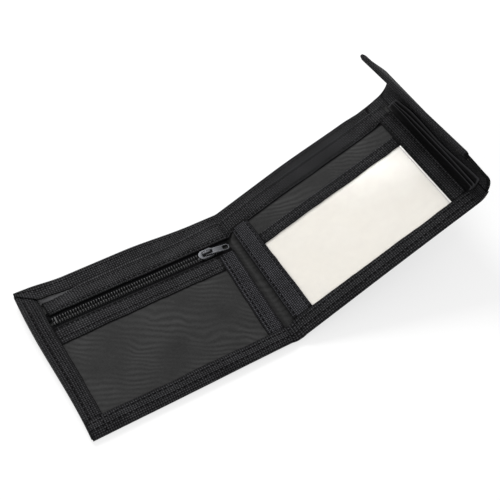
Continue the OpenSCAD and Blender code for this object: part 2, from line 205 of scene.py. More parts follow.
def add_node(tree, kind, settings=None, output=0, **inputs):
    """One output of a new node, by name or number, for its settings and inputs."""
    node = tree.nodes.new(kind)
    for key, value in (settings or {}).items():
        setattr(node, key, value)
    fill(node, **inputs)
    return node.outputs[output]


def maths(tree, operation, a, b=0.0, c=0.0):
    return add_node(tree, "ShaderNodeMath", {"operation": operation}, i0=a, i1=b, i2=c)


def mixed(tree, share, first, second):
    """A colour between two, as a share of the second."""
    return add_node(tree, "ShaderNodeMix", {"data_type": "RGBA"}, 2, i0=share, i6=first, i7=second)


def mottle(tree, where, scale, detail, rough=0.5):
    """Soft noise between about 0 and 1."""
    return add_node(tree, "ShaderNodeTexNoise", Vector=where, Scale=scale, Detail=detail, Roughness=rough)


def cut_map(tree):
    return add_node(tree, "ShaderNodeUVMap", {"uv_map": "cut"})


def node_group(name, kind, inputs, outputs):
    """An empty node group with its named sockets, and the nodes at its two ends."""
    group = bpy.data.node_groups.new(name, kind)
    for way, sockets in (("INPUT", inputs), ("OUTPUT", outputs)):
        for label, holds in sockets.items():
            group.interface.new_socket(label, in_out=way, socket_type="NodeSocket" + holds)
    return group, group.nodes.new("NodeGroupInput"), group.nodes.new("NodeGroupOutput")


weave, w_in, w_out = node_group(
    "plain_weave",
    "ShaderNodeTree",
    {"Cut": "Vector", "Warp": "Float", "Weft": "Float"},
    {"Height": "Float", "Shade": "Float"},
)
w_across, w_along, _ = add_node(weave, "ShaderNodeSeparateXYZ", i0=w_in.outputs["Cut"]).node.outputs
w_x = maths(weave, "SINE", maths(weave, "MULTIPLY", w_across, w_in.outputs["Warp"]))
w_y = maths(weave, "SINE", maths(weave, "MULTIPLY", w_along, w_in.outputs["Weft"]))
w_over = maths(weave, "GREATER_THAN", maths(weave, "MULTIPLY", w_x, w_y), 0.0)
w_height = add_node(
    weave, "ShaderNodeMix", i0=w_over, i2=maths(weave, "ABSOLUTE", w_y), i3=maths(weave, "ABSOLUTE", w_x)
)
w_yarn = mottle(weave, w_in.outputs["Cut"], 90.0, 3.0, 0.65)
# Painted shade and highlight: the thread crowns are painted lighter and the gaps between threads darker, for
# the light on the weave's relief.
w_crown = maths(weave, "ABSOLUTE", maths(weave, "MULTIPLY", w_x, w_y))
w_painted_gap_shade = maths(weave, "MULTIPLY", maths(weave, "POWER", w_crown, 0.8), 0.75)
w_tone = maths(weave, "MULTIPLY_ADD", w_over, 0.12, w_painted_gap_shade)
w_shade = maths(weave, "MULTIPLY_ADD", w_yarn, 0.7, maths(weave, "SUBTRACT", w_tone, 0.18))
fill(w_out, Height=w_height, Shade=w_shade)


def new_finish(name, **values):
    """A material, its node tree, and its shader with the values given."""
    mat = bpy.data.materials.new(name)
    mat.use_nodes = True
    shader = mat.node_tree.nodes["Principled BSDF"]
    fill(shader, **values)
    return mat, mat.node_tree, shader


def woven(name, dark, light, warp, weft, relief, roughness, painted_rim=(4, 4, 5), contrast=2.0):
    """A woven cloth: threads per 100 mm across and along the cut, and how proud they stand in mm.

    The outermost millimetre of the cut, where it rolls over, is painted towards the rim colour: painted shade
    where that colour is darker than the cloth, as on most pieces, and a painted highlight where it is
    lighter, as on the side pockets' lips."""
    mat, tree, shader = new_finish(name, Roughness=roughness, Specular_IOR_Level=0.07)
    cut = cut_map(tree)
    height, shade = add_node(
        tree, "ShaderNodeGroup", {"node_tree": weave}, Cut=cut, Warp=warp * math.pi, Weft=weft * math.pi
    ).node.outputs
    wear = mottle(tree, cut, 7.0, 4.0, 0.6)
    shade = maths(tree, "ADD", shade, maths(tree, "MULTIPLY_ADD", wear, 0.5, -0.25))
    shade = maths(tree, "POWER", shade, contrast)
    tint = mixed(tree, shade, colour(*dark), colour(*light))
    tint.node.name = "tint"
    # Painted shade at the cut's edges: towards the edge the weave's colour gives way to the rim colour.
    edge = add_node(tree, "ShaderNodeAttribute", {"attribute_name": "painted_rim"}, "Fac")
    inner = add_node(tree, "ShaderNodeMapRange", i0=edge, i1=0.15, i2=1.0)
    bump = add_node(tree, "ShaderNodeBump", Strength=1.0, Distance=relief * MM, Height=height)
    fill(shader, Base_Color=mixed(tree, inner, colour(*painted_rim), tint), Normal=bump)
    return mat


nylon = woven("black_nylon", (2, 2, 3), (71, 71, 73), 88, 88, 0.1, 0.65, contrast=2.8)


def corner_inset(past, radius):
    """How far a rounded corner draws an edge in, at a place this far past the start of the rounding."""
    return radius - math.sqrt(max(radius**2 - max(past, 0) ** 2, 0))


def shell_place(s, v):
    """Rounds the upper left corner of the cut, then lays it out."""
    inset = corner_inset(v - (shell_h - shell_corner), shell_corner)
    return shell_point(max(s, inset - panel_w), v, 0)


shell_across = steps(-panel_w, -14, 3) + steps(-13, 16, 0.8) + steps(18, right_shell_end + fold_arc, 3)
shell_along = [0, 0.4, 1.2, 2.4, 4] + steps(6, 90, 3.5) + [92, 93.6, 94.8, 95.6, 96]
shell = cloth("shell", shell_across, shell_along, shell_place, shell_t, nylon)
shell_fold = ("left_panel", "right_panel", shell_point(-7, mid_v, 0), shell_point(fold_arc + 7, mid_v, 0))


def bends_at(fold, piece, slot, *nodes):
    """The piece keeps its place, baked into its mesh, and stands for these nodes. The fold is not used."""
    first, second, start, end = fold
    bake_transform(piece)
    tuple(start)
    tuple(end)
    if nodes:
        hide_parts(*nodes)


bends_at(shell_fold, shell, "nylon", "left_shell", "centre_spine", "right_shell")


# Shell lining and top binding: thin grey cloth inside the shell, and a nylon tape folded over the
# shell's top edge. Both are sewn on, so they bend with the shell.
lining_t = 0.3
face_z = shell_t + lining_t
binding_t = 0.5
grey_cloth = woven("grey_lining", (104, 104, 106), (134, 134, 136), 260, 260, 0.02, 0.55, (60, 60, 62), 1.0)


def lining_place(s, v):
    return shell_point(s, v, shell_t)


lining_across = steps(-panel_w, -14, 4) + steps(-13, 16, 0.8) + steps(18, 92, 4)
shell_lining = cloth("shell_lining", lining_across, steps(0.3, 92, 4), lining_place, lining_t, grey_cloth)
bends_at(shell_fold, shell_lining, "grey_lining", "left_shell_lining", "right_shell_lining")

shell_binding_h = 7.5


def wander(t, seed):
    """How far a hand-guided edge strays from its line, in mm."""
    return 0.34 * noise.noise(Vector((t * 0.07, seed, 0))) + 0.2 * noise.noise(Vector((t * 0.21, seed, 9)))


def shell_binding_place(s, q, w=0.0):
    """q runs up the inner leg and over the shell's edge. At the left the leg tapers over the edge binding."""
    sink = 0.6 * eased((s - 86) / 12)
    lap = eased((-s - 86) / 16)
    if q <= shell_binding_h:
        leg = 7.8 + 0.8 * eased((-s - 20) / 50) - 4.2 * eased((-s - 98) / 9) - 2.6 * eased((-s - 105.5) / 5)
        leg += 1.4 * math.exp(-(((s + 101) / 4) ** 2)) + wander(s, 1)
        v = shell_h - leg * (1 - q / shell_binding_h)
        over = lap * (1.35 + 1.1 * eased((91 - v) / 4))
        return shell_point(s, v - sink, face_z + w - sink + over)
    fall = (q - shell_binding_h) * (1 + 0.9 * lap)
    return shell_point(s, shell_h + 0.05 + w - sink, face_z + 1.35 * lap - fall)


binding_across = steps(-110.4, -97, 1.1) + [s for s in shell_across if s > -96]
binding_up = [0, 0.3, 0.8, 1.5, 2.5, 3.5, 4.4, 4.8, 5.2, 5.6, 6, 6.4, 7, 7.5, 8, 8.5, 9]
shell_binding = cloth("shell_binding", binding_across, binding_up, shell_binding_place, binding_t, nylon)
bends_at(shell_fold, shell_binding, "nylon", "left_shell_binding", "right_shell_binding")


# Loop half of the closure: a strip of looped pile set flush in the outside of the left panel,
# where the closed flap brings its hooks.
pile = woven("loop_pile", (10, 10, 11), (48, 48, 51), 190, 170, 0.25, 0.9)
loop_lo, loop_hi = (p / MM - fold_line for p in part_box("loop_strip"))
pile_t = 0.85


def moves_with(piece, body, slot, *nodes):
    """The piece is fixed to one body and stands for these nodes."""
    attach(piece, body)
    if nodes:
        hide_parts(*nodes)


def loop_place(s, v):
    fuzz = 0.08 * noise.noise(Vector((s * 1.3, v * 1.3, 5)))
    return in_row(s, v, loop_lo.z + 0.12 + fuzz)


loop_across = steps(loop_lo.x, loop_hi.x, 0.8)
loop_along = steps(loop_lo.y, loop_hi.y, 0.8)
loop_strip = cloth("loop_pile_strip", loop_across, loop_along, loop_place, pile_t, pile)
moves_with(loop_strip, "left_panel", "loop_pile", "loop_strip")


# Front wall of the long pocket: smooth lining cloth that leans up from the shell towards the
# mouth. All the pockets are sewn on it, and it bends at the fold between them.
front_h = 86
mouth_gap = 5.2
gape = math.asin(mouth_gap / front_h)
zip_v = 68.5
left_inset = 3.7
right_inset = 0.8
frame_w = 106
ply_t = 0.3


def ripple(s, v):
    """Slack in the sewn cloth, which every ply of a panel shares. It dies out at the zip and the window."""
    still = eased((abs(v - zip_v) - 3) / 6) if s < 0 else 0.25
    return 0.35 * still * noise.noise(Vector((s * 0.045, v * 0.06, 2.0)))


def lean_angle(s):
    """The wall leans less towards its outer ends, where it is sewn to the shell."""
    if s < 0:
        return gape * (1 - 0.45 * eased((-s - 96.5) / 13.5))
    return gape * (1 - 0.55 * eased((s - 20) / 75))


def droop(s, v):
    """Above the zip the wall's free edge falls towards the shell at both ends of the mouth."""
    left = 4.4 * eased((-s - 76) / 22) - front_h * math.sin(gape - lean_angle(s))
    return max(left, 0) * max((v - 71) / 15, 0) ** 2 if s < 0 else 0


def leaning(s, v, w):
    """A point over the leaning face, before the right panel is lifted."""
    lean = lean_angle(s)
    v -= 1.7 * eased((-s - 4) / 22) * eased((v - 72) / 14)
    return (
        v * math.cos(lean) - w * math.sin(lean),
        face_z + v * math.sin(lean) + w * math.cos(lean) + ripple(s, v) - droop(s, v),
    )


def face_point(s, v, w):
    """s runs across from the fold line, left negative; w is the height over the front wall's underside."""
    if s <= -left_inset:
        y, z = leaning(s, v, w)
        return in_row(s + left_flare(s, v), y, z + shell_curl(s, v) * eased((-s - 96) / 14))
    if s >= right_inset:
        y, z = leaning(s, v, w)
        x, z = turned(s, z, tilt, fold_z)
        return in_row(x, y, z)
    share = (s + left_inset) / (left_inset + right_inset)
    sag = Vector((0, 0, -1.2 * MM)) * math.sin(math.pi * share)
    return face_point(-left_inset, v, w).lerp(face_point(right_inset, v, w), share) + sag


# Smooth lining of the pockets: close-woven nylon with fine threads, pressed so that a faint watered
# pattern runs across the weave in patches.
def smooth_lining(name, dark, light, painted_rim=(10, 10, 11)):
    mat = woven(name, dark, light, 330, 330, 0.012, 0.5, painted_rim, 1.0)
    tree = mat.node_tree
    share = tree.nodes["tint"].inputs[0]
    cut = cut_map(tree)
    drift = add_node(tree, "ShaderNodeTexNoise", output="Color", Vector=cut, Scale=2.2, Detail=2.0)
    bent = add_node(tree, "ShaderNodeMix", {"data_type": "VECTOR"}, 1, i0=0.2, i4=cut, i5=drift)
    across = add_node(tree, "ShaderNodeMapping", Vector=bent, Rotation=(0, 0, 0.55))
    bands = {"Scale": 13.5, "Distortion": 6.0, "Detail": 3.0, "Detail_Scale": 0.6}
    water = add_node(tree, "ShaderNodeTexWave", {"bands_direction": "Y"}, "Fac", Vector=across, **bands)
    patch = maths(tree, "MULTIPLY_ADD", mottle(tree, cut, 4.5, 2.0), 2.0, -0.7)
    depth = maths(tree, "MULTIPLY", maths(tree, "MULTIPLY", water, patch), 0.58)
    threads = share.links[0].from_socket
    tree.links.new(maths(tree, "MULTIPLY_ADD", threads, 0.6, depth), share)
    return mat


lining = smooth_lining("smooth_lining", (22, 22, 22), (66, 66, 66))
pocket_foot = 4.5


def across_fold(start, size, fold_size):
    """Stations from start on the left panel to the right panel's edge, close together at the fold."""
    fold = steps(-left_inset, right_inset, fold_size)
    return steps(start, -left_inset - 1, size) + fold + steps(right_inset + 1, frame_w, size)


def ply(name, across, along, w, finish=lining):
    """A plain thin ply, w above the front wall's underside."""
    return cloth(name, across, along, lambda s, v: face_point(s, v, w), ply_t, finish)


front_wall = ply("front_wall", across_fold(-panel_w, 3, 0.5), steps(pocket_foot, front_h, 4), 0)
wall_ends = face_point(-left_inset + 0.15, 40, 0), face_point(right_inset - 0.15, 40, 0)
wall_fold = ("left_panel", "right_panel", *wall_ends)
bends_at(wall_fold, front_wall, "smooth_lining", "left_bill_front", "front_wall_spine", "right_bill_front")


# Zip pocket: two plies of smooth lining on the left panel, open along the slit that the zip closes.
# The ply behind also makes the slot that opens towards the fold.
slit_low = 64.5
slit_high = 72.5
pocket_back_w = 0.4
pocket_face_w = 1.85
left_across = steps(-panel_w, -left_inset, 3)
pocket_back = ply("zip_pocket_back", left_across, steps(pocket_foot, front_h, 4), pocket_back_w)
moves_with(pocket_back, "left_panel", "smooth_lining", "coin_pocket_back")


def pocket_face_place(s, v):
    """The empty pocket's face sits a little full between its seams."""
    across = min(max((-s - 12) / 90, 0), 1)
    up = min(max((v - 10) / 47, 0), 1)
    full = math.sin(math.pi * across) * math.sin(math.pi * up)
    return face_point(s, v, pocket_face_w + 0.25 * full)


face_along = steps(pocket_foot, slit_low, 3)
pocket_face = cloth("zip_pocket_face", left_across, face_along, pocket_face_place, ply_t, lining)
moves_with(pocket_face, "left_panel", "smooth_lining", "coin_pocket_face")


# Zip tapes: two narrow black tapes, woven close, that carry the rows of coil along their edges.
# They are tucked under the band below the slit and the top band above it, and sewn there.
zip_from = -101.5
zip_to = -11.1
zip_tape_w = 1.5
# The zip tapes' colour is partly their own black and partly painted shade, darkened for the deep shade along
# the slit's lower edge under the band.
zip_tape_cloth_painted_shade = woven("zip_tape", (3, 3, 4), (17, 17, 19), 180, 90, 0.08, 0.75)


def zip_tape(side, low, high):
    across = steps(zip_from - 3, -left_inset, 3)
    piece = ply(side + "_zip_tape", across, steps(low, high, 0.9), zip_tape_w, zip_tape_cloth_painted_shade)
    moves_with(piece, "left_panel", "zip_tape", "zip_tape_" + side)


zip_tape("lower", slit_low - 3, zip_v - 1.35)
zip_tape("upper", zip_v + 1.35, slit_high + 3)


# Coil rows and end stops: black plastic wire wound in even turns along the edge of each zip tape,
# and a small bar of black metal pressed over both rows at each end.
coil_w = 1.8
coil_pitch = 1.4
coil_half_w = 0.86
coil_half_h = 0.26
coil_wire_r = 0.27


def polished(name, tint, roughness, metallic, grain, specular=0.5):
    """A hard finish whose roughness wanders a little, as on worn metal or moulded plastic."""
    mat, tree, shader = new_finish(name, Metallic=metallic, Specular_IOR_Level=specular)
    rub = mottle(tree, add_node(tree, "ShaderNodeTexCoord", output="Object"), grain, 4.0, 0.6)
    dark = [c * 0.85 for c in colour(*tint)[:3]] + [1]
    worn = maths(tree, "MULTIPLY_ADD", rub, 0.25, roughness - 0.12)
    fill(shader, Base_Color=mixed(tree, rub, dark, colour(*tint)), Roughness=worn)
    return mat


coil_plastic = polished("coil_plastic", (21, 21, 23), 0.36, 0.0, 900.0)


def wire_loop(width, height, wire, slant):
    """One turn of coil: an oval loop of round wire that leans along the row as a helix does."""
    bends, sides = 12, 6
    points, faces = [], []
    for i in range(bends):
        a = 2 * math.pi * i / bends
        core = Vector((slant * math.sin(a / 2 + math.pi / 4), width * math.cos(a), height * math.sin(a)))
        out = Vector((0, math.cos(a) / width, math.sin(a) / height)).normalized()
        for k in range(sides):
            b = 2 * math.pi * k / sides
            points.append((core + wire * (out * math.cos(b) + Vector((1, 0, 0)) * math.sin(b))) * MM)
    for i in range(bends):
        for k in range(sides):
            j, m = (i + 1) % bends, (k + 1) % sides
            faces.append((i * sides + k, i * sides + m, j * sides + m, j * sides + k))
    mesh = bpy.data.meshes.new("coil_turn")
    mesh.from_pydata(points, [], faces)
    mesh.shade_smooth()
    return link("coil_turn", mesh)


# Rows of like things along a line, as a Geometry Nodes tree: the line is stepped at the pitch, and
# each step carries one instance that points along the line and stands on the surface.
row_tree, r_in, r_out = node_group(
    "row_along_line",
    "GeometryNodeTree",
    {"Line": "Geometry", "Shape": "Object", "Pitch": "Float", "Size": "Vector", "Finish": "Material"},
    {"Row": "Geometry"},
)
r_line, r_shape, r_pitch, r_size, r_finish, _ = r_in.outputs
r_curve = add_node(row_tree, "GeometryNodeMeshToCurve", i0=r_line)
r_steps = add_node(row_tree, "GeometryNodeResampleCurve", {"mode": "LENGTH"}, Curve=r_curve, Length=r_pitch)
r_tangent = add_node(row_tree, "GeometryNodeInputTangent")
r_along = add_node(row_tree, "FunctionNodeAlignRotationToVector", {"axis": "X"}, Vector=r_tangent)
r_normal = add_node(row_tree, "GeometryNodeInputNamedAttribute", {"data_type": "FLOAT_VECTOR"}, Name="stand")
r_axes = {"axis": "Z", "pivot_axis": "X"}
r_stand = add_node(row_tree, "FunctionNodeAlignRotationToVector", r_axes, Rotation=r_along, Vector=r_normal)
r_thing = add_node(row_tree, "GeometryNodeObjectInfo", output="Geometry", Object=r_shape)
r_where = {"Points": r_steps, "Rotation": r_stand, "Scale": r_size}
r_set = add_node(row_tree, "GeometryNodeInstanceOnPoints", Instance=r_thing, **r_where)
r_real = add_node(row_tree, "GeometryNodeRealizeInstances", i0=r_set)
r_done = add_node(row_tree, "GeometryNodeSetMaterial", i0=r_real, Material=r_finish)
fill(r_out, Row=r_done)


def row_of(name, shape, lines, pitch, size, finish):
    """Sets the shape along each line, a list of (point, stand) pairs, and gives one plain mesh."""
    points, edges, stands = [], [], []
    for line in lines:
        edges += [(len(points) + i, len(points) + i + 1) for i in range(len(line) - 1)]
        points += [p for p, _ in line]
        stands += [x for _, n in line for x in n]
    mesh = bpy.data.meshes.new(name)
    mesh.from_pydata(points, edges, [])
    stand = mesh.attributes.new("stand", "FLOAT_VECTOR", "POINT")
    stand.data.foreach_set("vector", stands)
    obj = link(name, mesh)
    modifier = obj.modifiers.new("row", "NODES")
    modifier.node_group = row_tree
    values = {"Shape": shape, "Pitch": pitch, "Size": size, "Finish": finish}
    for item in row_tree.interface.items_tree:
        if item.name in values:
            modifier[item.identifier] = values[item.name]
    return plain_mesh(obj, 60)


def on_surface(place, stations, lift):
    """A line over a surface, with the way up at each point: place(t, w) is a point w above the surface."""
    line = []
    for t in stations:
        foot = place(t, 0)
        up = (place(t, 1) - foot).normalized()
        line.append((foot + up * lift * MM, up))
    return line


coil_turn = wire_loop(coil_half_w, coil_half_h, coil_wire_r, 0.25)


def coil_row(side, v):
    stations = steps(zip_from + 1.6, zip_to - 1.6, 3)
    line = on_surface(lambda s, w: face_point(s, v, coil_w + w), stations, 0.5)
    row = row_of(side + "_coil", coil_turn, [line], coil_pitch * MM, (1, 1, 1), coil_plastic)
    moves_with(row, "left_panel", "zip_coil", "zip_coil_" + side)


coil_row("lower", zip_v - 1.25)
coil_row("upper", zip_v + 1.25)
bpy.data.objects.remove(coil_turn)


def left_face_matrix(s, v, w):
    """The place on the left panel's leaning face, with X along the zip and Z up from the face."""
    up = Matrix.Rotation(gape, 4, "X")
    return Matrix.Translation(in_row(0, 0, face_z)) @ up @ Matrix.Translation(Vector((s, v, w)) * MM)


def cut_out(loops, thick, bevel):
    """A flat piece with rounded edges from its outline and its holes, in mm, with its middle at height 0."""
    curve = bpy.data.curves.new("outline", "CURVE")
    curve.dimensions = "2D"
    curve.fill_mode = "BOTH"
    curve.extrude = (thick / 2 - bevel) * MM
    curve.bevel_depth = bevel * MM
    curve.bevel_resolution = 2
    curve.offset = -bevel * MM
    for loop in loops:
        line = curve.splines.new("POLY")
        line.points.add(len(loop) - 1)
        line.use_cyclic_u = True
        for point, (x, y) in zip(line.points, loop):
            point.co = (x * MM, y * MM, 0, 1)
    obj = link("outline", curve)
    graph = bpy.context.evaluated_depsgraph_get()
    mesh = bpy.data.meshes.new_from_object(obj.evaluated_get(graph), depsgraph=graph)
    bpy.data.objects.remove(obj)
    return mesh


def arc(x, y, r, start, end, count=10):
    """Points round an arc, in degrees."""
    angles = [math.radians(start + (end - start) * i / count) for i in range(count + 1)]
    return [(x + r * math.cos(a), y + r * math.sin(a)) for a in angles]


def rounded_box(x0, y0, x1, y1, r):
    corners = ((x1 - r, y0 + r, -90), (x1 - r, y1 - r, 0), (x0 + r, y1 - r, 90), (x0 + r, y0 + r, 180))
    return [point for x, y, start in corners for point in arc(x, y, r, start, start + 90, 4)]


def gathered(name, meshes, finish):
    """Joins (mesh, place) pairs into one piece whose place is in its mesh."""
    whole = bmesh.new()
    for mesh, place in meshes:
        mesh.transform(place)
        whole.from_mesh(mesh)
    bmesh.ops.remove_doubles(whole, verts=whole.verts, dist=1e-7)
    bmesh.ops.recalc_face_normals(whole, faces=whole.faces)
    mesh = bpy.data.meshes.new(name)
    whole.to_mesh(mesh)
    whole.free()
    mesh.materials.clear()
    mesh.materials.append(finish)
    smoothed(mesh)
    return link(name, mesh)


stop_bars = [
    (cut_out([rounded_box(-0.6, -2.1, 0.6, 2.1, 0.3)], 1.0, 0.25), left_face_matrix(s, zip_v, coil_w + 0.5))
    for s in (zip_from + 0.6, zip_to - 0.6)
]
black_metal = polished("black_metal", (24, 24, 25), 0.45, 0.3, 500.0)
zip_stops = gathered("end_stops", stop_bars, black_metal)
moves_with(zip_stops, "left_panel", "zip_metal", "zip_stops")


# Zip slider: die-cast metal in one piece, two plates with a round nose, flanges that guide the coil,
# a post that parts the rows, and a low bridge that holds the pull.
gun_metal = polished("gun_metal", (80, 81, 84), 0.42, 0.85, 500.0)
slider_s = -17.15
nose_r = 2.85
slider_outline = arc(-4.5 + nose_r, 0, nose_r, 90, 270, 16)
slider_outline += [(2.9, -nose_r), (4.5, -1.5), (4.5, 1.5), (2.9, nose_r)]
bridge_side = (
    [(-2.6, 0)]
    + arc(-1.7, 0.5, 0.9, 180, 90, 6)
    + arc(1.7, 0.5, 0.9, 90, 0, 6)
    + [(2.6, 0), (1.9, 0)]
    + arc(1.5, 0.35, 0.4, 0, 90, 4)
    + arc(-1.5, 0.35, 0.4, 90, 180, 4)
    + [(-1.9, 0)]
)
slider_window = rounded_box(-1.7, -1.75, 3.3, 1.75, 0.9)
flange = [(-2.2, 2.25), (3.0, 2.25), (2.9, 2.85), (-2.0, 2.85)]
upright = Matrix.Rotation(math.pi / 2, 4, "X")
other_flange = [(x, -y) for x, y in flange[::-1]]
post = arc(-3.1, 0, 0.45, 0, 330, 11)


def at_slider(w):
    return left_face_matrix(slider_s, zip_v, w)


slider_parts = [
    (cut_out([slider_outline], 0.5, 0.2), at_slider(1.1)),
    (cut_out([slider_outline, slider_window], 0.5, 0.2), at_slider(3.2)),
    (cut_out([flange], 1.05, 0.1), at_slider(2.45)),
    (cut_out([other_flange], 1.05, 0.1), at_slider(2.45)),
    (cut_out([post], 1.9, 0.1), at_slider(2.15)),
    (cut_out([bridge_side], 1.2, 0.25), at_slider(3.43) @ upright),
]
slider = gathered("slider_casting", slider_parts, gun_metal)
moves_with(slider, "slider", "zip_metal", "slider_body")


# Zip pull: a stamped metal tab with a bar that turns under the bridge, an eye round the bridge and
# a hole at its end. It lies over the zip towards the fold.
pull_l = 12.5
pull_half = 1.9
bar_w = 3.825
swing = Matrix.Rotation(math.radians(-9), 4, "Z")
tab = arc(pull_l - 1.6, -pull_half + 1.6, 1.6, -90, 0, 5) + arc(pull_l - 1.6, pull_half - 1.6, 1.6, 0, 90, 5)
tab += [(4.0, pull_half), (3.5, pull_half - 0.15)] + arc(0.9, 0, pull_half - 0.1, 90, 270, 12)
tab += [(3.5, -pull_half + 0.15), (4.0, -pull_half)]
eye = arc(0.95, 0, 1.15, 270, 90, 10) + [(3.3, 1.15), (3.3, -1.15)]
tab_hole = rounded_box(pull_l - 3.6, -1.25, pull_l - 0.65, 1.25, 0.6)
pull_parts = [
    (cut_out([tab, eye, tab_hole], 0.55, 0.16), left_face_matrix(slider_s, zip_v + 0.2, bar_w) @ swing),
    (cut_out([arc(0, 0, 0.27, 0, 330, 11)], 3.2, 0.05), at_slider(bar_w) @ upright),
]
pull = gathered("pull_tab", pull_parts, gun_metal)
moves_with(pull, "pull", "zip_metal", "slider_pull")


# Left tapes: a nylon band below the zip, a ribbed tape along the fold side, and a binding that wraps
# the outer edge from the pockets down to the shell. Each is sewn down along both edges.
left_tape_w = 2.15
tape_t = 0.5
ribbed = woven("ribbed_tape", (2, 2, 3), (79, 79, 83), 108, 92, 0.1, 0.66, contrast=2.6)
edge_nylon = woven("edge_tape", (2, 2, 3), (63, 63, 65), 92, 92, 0.08, 0.62, contrast=2.8)


def tape_stations(width, seams, start=0):
    """Stations across a tape from its start, close at its edges and at each row of stitches."""
    marks = steps(0, width, 2) + [0.3, 0.8, width - 0.8, width - 0.3]
    for q in seams:
        marks += [q - 0.8, q - 0.4, q, q + 0.4, q + 0.8]
    marks = sorted(m for m in marks if 0 <= m <= width)
    return [start + m for i, m in enumerate(marks) if i == 0 or m - marks[i - 1] > 0.12]


def wrap_stations(front, seams, falls, spare=2):
    """Stations of a tape that wraps an edge: over its front, then at these falls past the edge."""
    return [q for q in tape_stations(front + spare, seams) if q < front] + [front + f for f in falls]


def tape_rise(q, width, seams):
    """Height of a sewn tape over the flat: its edges roll down, and each row of stitches pulls it in."""
    rolled = 0.16 * (1 - eased(min(q, width - q) / 0.9))
    pulled = sum(0.2 * max(0, 1 - abs(q - s) / 0.9) ** 2 for s in seams)
    return 0.16 - rolled - pulled


def sewn_tape(name, panel, node, across, along, place, finish=nylon):
    """A tape that is sewn to one panel and stands for one node."""
    piece = cloth(name, across, along, place, tape_t, finish)
    moves_with(piece, panel, "nylon", node)
    return piece


zip_band_h = 10
zip_band_seams = (3.1, 8.7)


def zip_band_place(s, q, w=0.0):
    """q runs up from the lower edge of the band, which is a little wider at its left end, to the slit."""
    drop = (zip_band_h + 0.9 * eased((-s - 40) / 60) + 1.3 * wander(s, 2)) * (1 - q / zip_band_h)
    return face_point(s, slit_low - drop, left_tape_w + tape_rise(q, zip_band_h, zip_band_seams) + w)


band_rows = tape_stations(zip_band_h, zip_band_seams)
sewn_tape("band_below_zip", "left_panel", "zip_band", steps(-101.8, -12.5, 2.5), band_rows, zip_band_place)

left_fold_from = -12.7
left_fold_w = 9
left_fold_seams = (2.0, 4.4)


def left_fold_place(s, v, w=0.0):
    rise = tape_rise(s - left_fold_from, left_fold_w, left_fold_seams)
    return face_point(s + wander(v, 3), v, left_tape_w + 0.05 + rise + w)


sewn_tape(
    "left_ribbed_tape",
    "left_panel",
    "left_fold_tape",
    tape_stations(left_fold_w, left_fold_seams, left_fold_from),
    steps(8.4, slit_low, 2.5),
    left_fold_place,
    ribbed,
)

edge_from = -101.5
edge_w = 8.5
edge_seams = (3.2, 6.1)
edge_fall = 4.2


def edge_place(q, v, w=0.0):
    """q runs outward over the pockets, then down the edge to the underside of the shell."""
    height = left_tape_w + 0.06 + tape_rise(min(q, edge_w), edge_w + 2, edge_seams) + w
    height -= 0.5 * eased((8.7 - v) / 1.2) + 1.5 * (max(5.5 - v, 0) / 5.5) ** 2
    reach = edge_from - min(q, edge_w) + wander(v, 4) * max(1 - q / edge_w, 0)
    round_edge = (q - edge_w) / edge_fall
    on_shell = shell_point(reach, v, face_z + height - 1.6)
    over = face_point(reach, v, height).lerp(on_shell, eased((v - 84) / 9))
    if q <= edge_w:
        return over
    foot = shell_point(-panel_w, min(max(v, 0.2), shell_h), 0.05)
    out = Vector((-0.1 - w, 0, 0)) * MM * (1 + 2 * math.sin(math.pi * round_edge))
    return over.lerp(foot, round_edge) + out


edge_falls = [edge_fall * f for f in (0, 0.15, 0.3, 0.5, 0.75, 1)]
edge_across = wrap_stations(edge_w, edge_seams, edge_falls)
edge_along = steps(0.4, 10, 0.8) + steps(11, 95.2, 2)
edge_in = edge_across[::-1]
edge_binding = sewn_tape(
    "outer_edge_tape", "left_panel", "left_edge_binding", edge_in, edge_along, edge_place, edge_nylon
)
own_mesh(edge_binding)


# Side pockets of the right panel: three plies of smooth lining that open towards the flap. Their
# rolled lips rise one behind the other into the bend of the shell.
# Painted shade: the side pockets' lining is painted far darker than the same lining elsewhere, for the shade
# deep in the bend; its lighter rim colour paints a highlight along the lips.
pocket_cloth_painted_shade = smooth_lining("pocket_cloth_painted_shade", (6, 6, 7), (21, 21, 22), (66, 66, 68))
side_reach = {"outer": 6.8, "middle": 5.1, "inner": 3.4}
side_foot = 10.6
side_sewn = 64 / 74.8
lip_cut = 8


def side_place(level, reach):
    def place(q, v):
        """q runs outward to the edge of the frame, then on to the lip."""
        if q <= frame_w:
            return face_point(q, side_foot + (v - side_foot) * side_sewn, level)
        out = (q - frame_w) / lip_cut
        fan = 1 - eased((v - 14) / 34)
        d = out * reach * (1 + 0.08 * (reach - 4) * fan - 0.2 * eased((v - 66) / 20))
        wave = 0.3 * math.sin(v * 0.09 + level * 5) * out
        stand = level + 0.05 * d * d + 0.9 * eased((q - frame_w - 3) / 5)
        return face_point(frame_w + d + wave, v, stand)

    return place


for i, (name, reach) in enumerate(side_reach.items()):
    side_ply = cloth(
        name + "_side_ply",
        steps(48, frame_w - 1, 4) + steps(frame_w, frame_w + lip_cut, 0.5),
        [side_foot] + steps(12, 74.6, 2.5) + [77, 80, 82],
        side_place(0.4 + 0.4 * i, reach),
        ply_t,
        pocket_cloth_painted_shade,
    )
    moves_with(side_ply, "right_panel", "smooth_lining", "side_pocket_" + name)


# Window pocket: a back ply of smooth lining, a clear vinyl sheet held by the tapes round it, and a
# plain blank card between them.
window_back_h = 74.85
sheet_top = 62.5
card_w = 85.6
card_h = 54
card_corner = 3
window_back = ply("window_backing", steps(right_inset, frame_w, 3), steps(pocket_foot, window_back_h, 3), 1.6)
moves_with(window_back, "right_panel", "smooth_lining", "window_back_ply")

card_stock = polished("card_stock", (255, 250, 240), 0.55, 0.0, 260.0)


